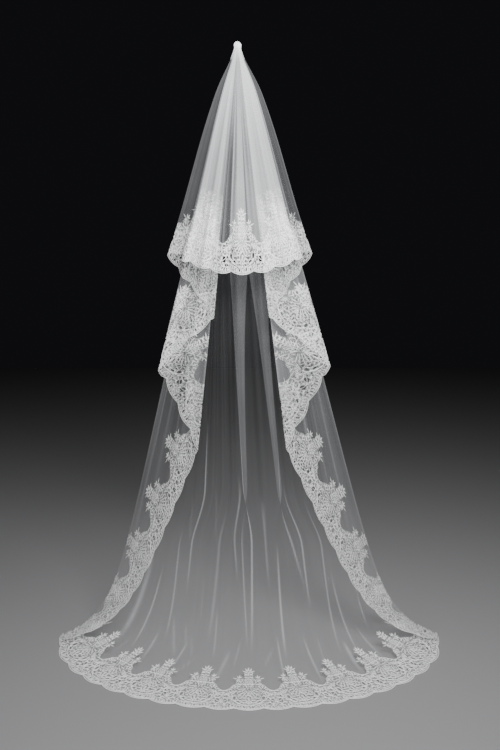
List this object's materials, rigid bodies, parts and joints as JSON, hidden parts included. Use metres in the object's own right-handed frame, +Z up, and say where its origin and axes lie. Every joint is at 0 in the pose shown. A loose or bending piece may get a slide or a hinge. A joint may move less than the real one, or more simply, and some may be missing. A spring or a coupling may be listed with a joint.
{
  "type": "bridal veil",
  "caption": "Floor-length bridal drop veil of soft tulle with a scalloped floral lace border, held up at one gathered point, with a short front fall and zigzag side folds.",
  "frame": {"origin": "the gathered point by which the veil is held, 2.0 m above the floor its hem lies on", "axes": "+Z up, the front faces -Y, +X is to the right in the picture"},
  "size_m": [1.3201, 0.5377, 2.013],
  "materials": {
    "tulle": "matte",
    "lace": "matte",
    "gather": "matte"
  },
  "bodies": {
    "root": {"crown_gather": "gather", "blusher_front_tulle": "tulle", "blusher_front_lace": "lace", "blusher_side_left_tulle": "tulle", "blusher_side_left_lace": "lace", "blusher_side_right_tulle": "tulle", "blusher_side_right_lace": "lace", "blusher_pleats_left_tulle": "tulle", "blusher_pleats_left_lace": "lace", "blusher_pleats_right_tulle": "tulle", "blusher_pleats_right_lace": "lace", "cascade_1_left_tulle": "tulle", "cascade_1_left_lace": "lace", "cascade_1_right_tulle": "tulle", "cascade_1_right_lace": "lace", "cascade_2_left_tulle": "tulle", "cascade_2_left_lace": "lace", "cascade_2_right_tulle": "tulle", "cascade_2_right_lace": "lace", "cascade_3_left_tulle": "tulle", "cascade_3_left_lace": "lace", "cascade_3_right_tulle": "tulle", "cascade_3_right_lace": "lace", "cascade_4_left_tulle": "tulle", "cascade_4_left_lace": "lace", "cascade_4_right_tulle": "tulle", "cascade_4_right_lace": "lace", "train_tulle": "tulle", "train_lace": "lace"}
  },
  "joints": []
}
